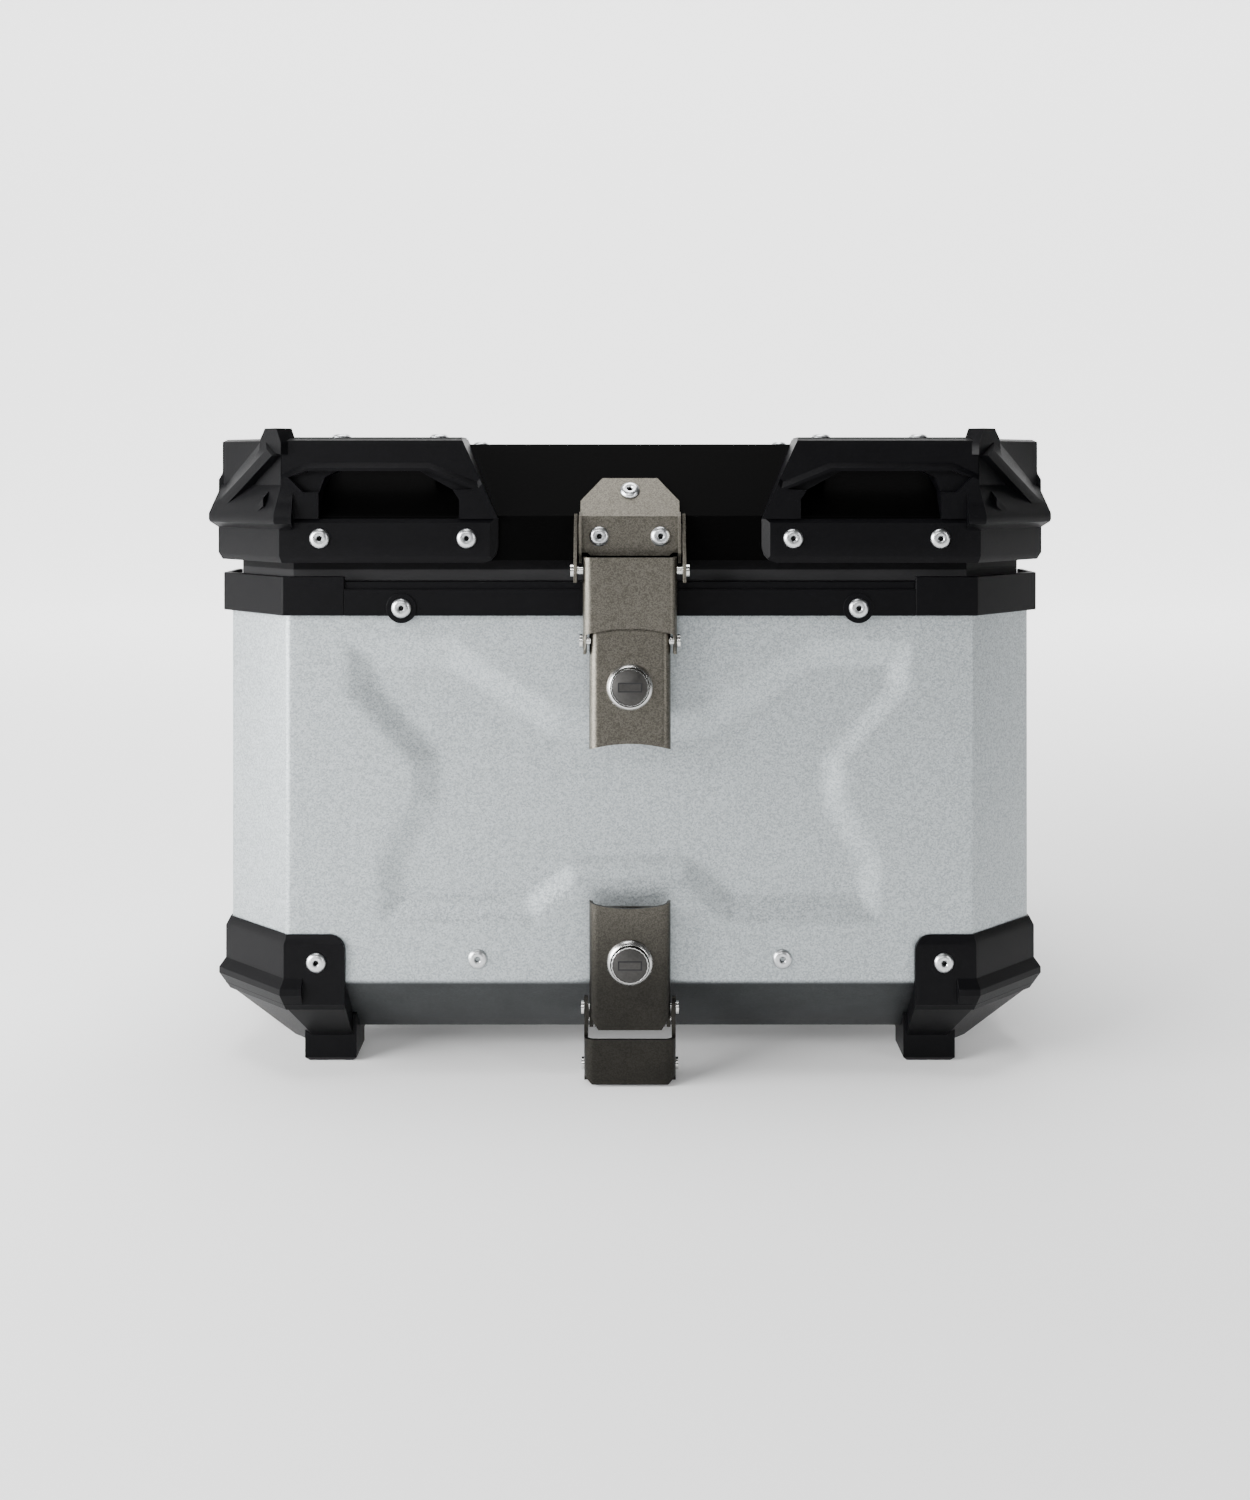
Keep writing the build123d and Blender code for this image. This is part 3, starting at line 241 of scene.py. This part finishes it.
def rivet_alloy():
    """Bright pressed aluminium with a slight haze, with painted shade in its hole and round its foot."""
    f = Finish("rivet_aluminium", Metallic=1.0)
    haze = f.noise(500.0, 3.0)
    metal = f.mix(haze, (0.52, 0.54, 0.55, 1), (0.72, 0.73, 0.74, 1))
    # Painted shade: where ambient occlusion finds the surface closed in, in the mandrel hole and where the
    # dome meets its seat, the colour goes near black
    occlusion_for_painted_shade = f.node("ShaderNodeAmbientOcclusion", {"samples": 8}, Distance=0.0022, out=1)
    f.feed("Base Color", f.mix(f.band(occlusion_for_painted_shade, 0.42, 0.72), (0.006, 0.006, 0.006, 1), metal))
    f.feed("Roughness", 0.22 + 0.18 * haze)
    f.height(f.noise(3000.0), 0.00002, 0.5)
    return f.material


def lock_dark():
    """Blackened die-cast lock faces."""
    f = Finish("blackened_lock", Metallic=0.6)
    haze = f.noise(700.0, 3.0)
    f.feed("Base Color", f.mix(haze, (0.026, 0.025, 0.024, 1), (0.052, 0.050, 0.047, 1)))
    f.feed("Roughness", 0.34 + 0.16 * haze)
    f.height(haze, 0.00003, 0.5)
    return f.material


finishes = {
    "silver_sheet": silver_sheet(),
    "black_sheet": black_sheet(),
    "moulded_black": moulded_black(),
    "seal_rubber": seal_rubber(),
    "blasted_steel": blasted_steel(),
    "bright_steel": bright_steel(),
    "rivet_alloy": rivet_alloy(),
    "lock_dark": lock_dark(),
}
node_slot = {row["node"]: row["material_slot"] for row in frame["record"]["subparts"]}
bodies = frame["record"]["behaviour"]["bodies"]
node_body = {node: body for body, members in bodies.items() for node in members}


def paint(piece, slot_name):
    piece.data.materials.clear()
    piece.data.materials.append(finishes[slot_name])


# ---------------------------------------------------------------- pieces
def piece_from(form, name, node, slot_name=None, body=None):
    """Turn a bmesh into a piece that stands for a node and moves with its body."""
    mesh = bpy.data.meshes.new(name)
    form.to_mesh(mesh)
    form.free()
    piece = bpy.data.objects.new(name, mesh)
    bpy.context.scene.collection.objects.link(piece)
    slot_name = slot_name or node_slot[node]
    paint(piece, slot_name)
    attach(piece, body or node_body[node])
    return piece


def smooth(piece, angle=35):
    """Smooth shading that keeps edges sharper than an angle."""
    for face in piece.data.polygons:
        face.use_smooth = True
    for edge in piece.data.edges:
        edge.use_edge_sharp = False
    form = bmesh.new()
    form.from_mesh(piece.data)
    for edge in form.edges:
        if len(edge.link_faces) == 2 and edge.calc_face_angle(0) > radians(angle):
            edge.smooth = False
    form.to_mesh(piece.data)
    form.free()


def rounded(piece, width, segments=2, angle=30):
    """Round every edge of a piece over a width."""
    bevel = piece.modifiers.new("rounded edges", "BEVEL")
    bevel.width = width
    bevel.segments = segments
    bevel.limit_method = "ANGLE"
    bevel.angle_limit = radians(angle)
    bevel.harden_normals = False
    bevel.use_clamp_overlap = True
    for face in piece.data.polygons:
        face.use_smooth = True
    weighted = piece.modifiers.new("even shading", "WEIGHTED_NORMAL")
    weighted.keep_sharp = False


def merged(node):
    """A bmesh of a CAD piece, its doubled vertices merged."""
    form = bmesh.new()
    form.from_mesh(frame["nodes"][node].data)
    bmesh.ops.remove_doubles(form, verts=form.verts, dist=WELD)
    return form


def softened(node, width, segments=2, angle=30):
    """A copy of a CAD piece, merged to whole faces, with its edges rounded."""
    form = merged(node)
    bmesh.ops.dissolve_limit(
        form, angle_limit=radians(1.0), verts=form.verts, edges=form.edges, use_dissolve_boundaries=False
    )
    bmesh.ops.recalc_face_normals(form, faces=form.faces)
    piece = piece_from(form, f"{node}_piece", node)
    rounded(piece, width, segments, angle)
    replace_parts(piece, node)
    return piece


for name, cad_piece in frame["nodes"].items():
    paint(cad_piece, node_slot[name])

for corner in CORNERS:
    softened(f"lid_guard_{corner}", 0.0012, 3)
    softened(f"corner_protector_{corner}", 0.0011, 3)
    softened(f"rim_corner_{corner}", 0.0006, 2)
for side in ("front", "rear", "left", "right"):
    softened(f"rim_rail_{side}", 0.0006, 2)
softened("lid_panel", 0.0012, 3, 20)
latch_sheets = (
    "lid_bracket", "latch_yoke", "latch_link", "lock_lever", "mount_lever", "mount_claw", "mount_latch_base",
)
for name in latch_sheets:
    softened(name, 0.00035, 2, 40)
for side in ("left", "right"):
    softened(f"hinge_body_leaf_{side}", 0.0003, 2, 40)
    softened(f"hinge_lid_leaf_{side}", 0.0003, 2, 40)
    softened(f"mount_hook_{side}", 0.0004, 2, 40)


def evened(node):
    """A copy of a round CAD piece, merged and shaded smooth between its sharp edges."""
    form = merged(node)
    bmesh.ops.recalc_face_normals(form, faces=form.faces)
    piece = piece_from(form, f"{node}_piece", node)
    smooth(piece, 38)
    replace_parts(piece, node)


for name, slot in node_slot.items():
    if slot == "rivet_alloy" or name.endswith("_pin") or name.startswith("hinge_pin"):
        evened(name)


# ---------------------------------------------------------------- stamped tub
tub_half_x = (tub_high.x - tub_low.x) / 2
tub_half_y = (tub_high.y - tub_low.y) / 2
corner_leg = 0.0353  # the cut corners' reach along each wall
turn_in = 0.0322  # how far the folded bottom edge draws in
sheet = 0.0015
stamp_depth = 0.0034
stamp_outside = 0.0035  # the stamped slope starts this far outside its outline
stamp_width = 0.0125
straight_share, eased_share = 0.8, 0.2  # the slope is mostly straight, its ends a little eased
fold_height = 0.0467  # where the wall begins above the folded bottom edge
floor_edge = -0.050  # the floor's first ring, measured inwards from the wall
fine_top = 0.224  # the fine rows end here, above the stamped panel
corner_steps = 4
front_steps = 140
wall_steps = 72
outline_right = (
    (34.5, 175.4), (88.7, 211.0), (135.4, 211.0), (135.4, 190.0), (103.4, 154.7),
    (103.4, 136.0), (120.7, 106.4), (120.7, 79.3), (49.3, 79.3), (27.1, 97.6),
)
outline = [(x * MM, z * MM) for x, z in outline_right]
outline += [(-x * MM, z * MM) for x, z in reversed(outline_right)]


def inside_outline(x, z):
    """Distance to the stamped outline, positive inside it."""
    nearest = 1.0
    inside = False
    for (ax, az), (bx, bz) in zip(outline, outline[1:] + outline[:1]):
        dx, dz = bx - ax, bz - az
        along = max(0.0, min(1.0, ((x - ax) * dx + (z - az) * dz) / (dx * dx + dz * dz)))
        nearest = min(nearest, hypot(x - ax - along * dx, z - az - along * dz))
        if (az > z) != (bz > z) and x < ax + (z - az) * dx / dz:
            inside = not inside
    return nearest if inside else -nearest


def stamped(x, z):
    """How deep the panel is stamped at a place on the latch side."""
    t = max(0.0, min(1.0, (inside_outline(x, z) + stamp_outside) / stamp_width))
    return stamp_depth * (straight_share * t + eased_share * t * t * (3 - 2 * t))


def arc_through(before, corner, after, radius, steps):
    """A corner of a polyline, rounded: steps + 1 points."""
    back = (before - corner).normalized()
    ahead = (after - corner).normalized()
    half = back.angle(ahead) / 2
    reach = radius / tan(half)
    middle = corner + (back + ahead).normalized() * (radius / sin(half))
    first = corner + back * reach - middle
    last = corner + ahead * reach - middle
    turn = first.angle(last)
    points = []
    for k in range(steps + 1):
        share = k / steps
        points.append(middle + (first * sin(turn * (1 - share)) + last * sin(turn * share)) / sin(turn))
    return points


def plan_loop(out, radius):
    """The tub's plan moved outwards by out, corners rounded, the latch side in fine steps."""
    x, y = tub_half_x + out, tub_half_y + out
    leg = corner_leg + out * (2 - 2**0.5)
    corners = [
        Vector(c)
        for c in (
            (-x + leg, -y), (x - leg, -y), (x, -y + leg), (x, y - leg),
            (x - leg, y), (-x + leg, y), (-x, y - leg), (-x, -y + leg),
        )
    ]
    points = []
    for k, corner in enumerate(corners):
        points += arc_through(corners[k - 1], corner, corners[(k + 1) % len(corners)], radius, corner_steps)
        if k == 0:
            start = points[-1]
            run = -2 * start.x
            points += [Vector((start.x + run * n / front_steps, -y)) for n in range(1, front_steps)]
    return [(p.x, p.y + middle_y) for p in points]


def tub_levels(inset, radius):
    """Heights and outward offsets from the floor, round the fold, to the top edge."""
    lift = inset * tan(pi / 8)
    floor_z, fold_z, top_z = tub_low.z + inset, fold_height + lift, tub_high.z
    path = [
        Vector((floor_edge, floor_z)), Vector((-turn_in + lift, floor_z)),
        Vector((-inset, fold_z)), Vector((-inset, top_z)),
    ]
    rows = [path[0]]
    for k in (1, 2):
        rows += arc_through(path[k - 1], path[k], path[k + 1], radius, corner_steps)
    low = rows[-1].y
    rise = fine_top - low
    rows += [Vector((-inset, low + rise * n / wall_steps)) for n in range(1, wall_steps + 1)]
    return rows + [path[3]]


form = bmesh.new()
shells = []
for inset, radius in ((0.0, 0.0042), (sheet, 0.0030)):
    rings = []
    for row in tub_levels(inset, radius):
        ring = []
        for x, y in plan_loop(row.x, radius):
            sunk = stamped(x, row.y) if y < front_y + 0.002 else 0.0
            ring.append(form.verts.new((x, y + sunk, row.y)))
        rings.append(ring)
    for lower, upper in zip(rings, rings[1:]):
        for k in range(len(lower)):
            after = (k + 1) % len(lower)
            corners = (lower[k], lower[after], upper[after], upper[k])
            form.faces.new(corners if inset == 0.0 else corners[::-1])
    form.faces.new(rings[0][::-1] if inset == 0.0 else rings[0])
    shells.append(rings)
for k in range(len(shells[0][-1])):
    after = (k + 1) % len(shells[0][-1])
    outer, inner = shells[0][-1], shells[1][-1]
    form.faces.new((outer[k], outer[after], inner[after], inner[k]))
tub = piece_from(form, "stamped_tub", "tub_shell")
smooth(tub, 40)
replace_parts(tub, "tub_shell")


# ---------------------------------------------------------------- lock faces
def lathe(form, profile, origin, axis, segments=96, scallops=0, scallop=0.0):
    """Turn a profile of (radius, height) pairs in millimetres about an axis."""
    place = Matrix.Translation(origin) @ axis.to_track_quat("Z", "X").to_matrix().to_4x4()
    rings = []
    for radius, height in profile:
        if radius == 0:
            rings.append([form.verts.new(place @ Vector((0, 0, height * MM)))])
            continue
        ring = []
        for k in range(segments):
            angle = 2 * pi * k / segments
            wide = radius + scallop * cos(scallops * angle)
            spot = Vector((wide * cos(angle), wide * sin(angle), height)) * MM
            ring.append(form.verts.new(place @ spot))
        rings.append(ring)
    for lower, upper in zip(rings, rings[1:]):
        for k in range(segments):
            after = (k + 1) % segments
            low_pair = (lower[k % len(lower)], lower[after % len(lower)])
            high_pair = (upper[after % len(upper)], upper[k % len(upper)])
            corners = list(dict.fromkeys(low_pair + high_pair))
            if len(corners) > 2:
                form.faces.new(corners)


def plate(form, size, origin, axis):
    """A small flat plate on a lock's face, its size in millimetres."""
    across = Vector((1, 0, 0))
    upward = axis.cross(across).normalized()
    turn = Matrix((across, upward, axis)).transposed().to_4x4()
    made = bmesh.ops.create_cube(form, size=1.0)
    place = Matrix.Translation(origin) @ turn @ Matrix.Diagonal((size[0] * MM, size[1] * MM, size[2] * MM, 1))
    bmesh.ops.transform(form, verts=made["verts"], matrix=place)


# Lock profiles: radius and height above the seat, in millimetres
collar_profile = (
    (9.35, 0.0), (11.3, 0.0), (11.3, 0.4), (11.1, 0.8), (9.9, 2.45), (9.6, 2.6), (9.4, 2.4), (9.35, 0.0),
)
head_profile = (
    (0, -12.9), (6.0, -12.9), (6.0, 0.3), (9.1, 0.3), (9.1, 0.9), (8.85, 1.1),
    (8.85, 3.3), (8.4, 3.3), (8.4, 3.85), (8.2, 4.0), (0, 4.0),
)
rim_profile = ((8.45, 3.3), (8.45, 4.0), (8.55, 4.12), (8.8, 4.12), (8.95, 3.95), (8.95, 3.3))
rim_segments, rim_scallops, rim_scallop = 176, 22, 0.10
key_frame_size, key_frame_out = (11.6, 4.6, 0.16), 0.00404
key_shutter_size, key_shutter_out = (10.4, 3.3, 0.2), 0.0041


def turned(profile, seat, out, name, node, *finish, **scallop):
    """A turned lock piece that stands for a node, or rides on one's body with its own finish."""
    form = bmesh.new()
    lathe(form, profile, seat, out, **scallop)
    if profile[0] == profile[-1]:
        bmesh.ops.remove_doubles(form, verts=form.verts, dist=WELD)
    bmesh.ops.recalc_face_normals(form, faces=form.faces)
    piece = piece_from(form, name, node, *finish)
    smooth(piece, 40)
    return piece


for which, body in (("upper", "upper_key"), ("lower", "lower_key")):
    joint = next(j for j in frame["record"]["behaviour"]["joints"] if j["name"] == f"{which}_key_turn")
    seat = Vector(joint["pos_m"])
    out = Vector(joint["axis"]).normalized()
    ring, barrel = f"{which}_lock_ring", f"{which}_lock_barrel"
    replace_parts(turned(collar_profile, seat, out, f"{which}_collar", ring), ring)
    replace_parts(turned(head_profile, seat, out, f"{which}_lock_head", barrel), barrel)
    scallop = {"segments": rim_segments, "scallops": rim_scallops, "scallop": rim_scallop}
    turned(rim_profile, seat, out, f"{which}_lock_rim", barrel, "bright_steel", body, **scallop)
    form = bmesh.new()
    plate(form, key_frame_size, seat + out * key_frame_out, out)
    piece_from(form, f"{which}_key_frame", barrel, "seal_rubber", body)
    form = bmesh.new()
    plate(form, key_shutter_size, seat + out * key_shutter_out, out)
    piece_from(form, f"{which}_key_shutter", barrel, "lock_dark", body)


# ---------------------------------------------------------------- studio
camera_out = 0.837  # camera's distance from the front wall
camera_height = 0.2985


def studio_sweep():
    """A white paper floor that curves up into a wall behind the object, glowing more towards the back."""
    bend_start, bend, steps = 2.6, 1.6, 16
    wall_top, half_width = 6.0, 8.0
    profile = [(-7.0, 0.0), (-2.0, 0.0), (bend_start, 0.0)]
    for k in range(1, steps + 1):
        angle = pi / 2 * k / steps
        profile.append((bend_start + bend * sin(angle), bend - bend * cos(angle)))
    profile.append((bend_start + bend, wall_top))
    form = bmesh.new()
    rows = [[form.verts.new((x, y, z)) for x in (-half_width, 0.0, half_width)] for y, z in profile]
    for lower, upper in zip(rows, rows[1:]):
        for k in (0, 1):
            form.faces.new((lower[k], lower[k + 1], upper[k + 1], upper[k]))
    mesh = bpy.data.meshes.new("studio_sweep")
    form.to_mesh(mesh)
    form.free()
    for face in mesh.polygons:
        face.use_smooth = True
    sweep = bpy.data.objects.new("studio_sweep", mesh)
    bpy.context.scene.collection.objects.link(sweep)
    paper = Finish("studio_paper", Roughness=0.9, Emission_Strength=2.2)
    tone = paper.noise(4.0, 2.0)
    back = paper.node("ShaderNodeSeparateXYZ", {}, paper.place, out=1)
    # Painted light: the paper glows, black at the front and white towards the wall, and lights the case from
    # behind like a lamp
    glow = paper.band(back, -0.6, 2.4)
    paper.feed("Emission Color", paper.mix(glow, (0, 0, 0, 1), (1, 1, 1, 1)))
    paper.feed("Base Color", paper.mix(tone, (0.88, 0.88, 0.88, 1), (0.86, 0.86, 0.86, 1)))
    mesh.materials.append(paper.material)


studio_sweep()


def softbox(name, place, target, size, power, colour=(1, 1, 1)):
    """A rectangular studio light that faces its target."""
    data = bpy.data.lights.new(name, "AREA")
    data.shape = "RECTANGLE"
    data.size, data.size_y = size
    data.energy = power
    data.color = colour
    lamp = bpy.data.objects.new(name, data)
    lamp.location = place
    lamp.rotation_euler = (Vector(target) - Vector(place)).to_track_quat("-Z", "Y").to_euler()
    bpy.context.scene.collection.objects.link(lamp)


softbox("left_softbox", (-1.45, -0.85, 0.6), (0, 0, 0.16), (1.4, 1.0), 84)
softbox("right_softbox", (1.25, -1.3, 0.6), (0, 0, 0.16), (0.14, 1.0), 7)
softbox("top_softbox", (-0.1, 0.15, 2.1), (0, 0, 0), (1.6, 1.1), 46)
softbox("front_softbox", (-0.3, -2.3, 1.3), (0, 0, 0.2), (0.7, 0.5), 12)

world = bpy.data.worlds.new("studio_air")
world.use_nodes = True
world.node_tree.nodes["Background"].inputs["Color"].default_value = (1, 1, 1, 1)
world.node_tree.nodes["Background"].inputs["Strength"].default_value = 0.05
bpy.context.scene.world = world

camera_data = bpy.data.cameras.new("camera")
camera_data.lens = 40.8
camera_data.sensor_width = 36
camera_data.shift_y = -0.1867
camera_data.shift_x = -0.0033
camera_data.clip_end = 50
camera = bpy.data.objects.new("camera", camera_data)
camera.location = (0, front_y - camera_out, camera_height)
camera.rotation_euler = (radians(90), 0, 0)
bpy.context.scene.collection.objects.link(camera)
bpy.context.scene.camera = camera
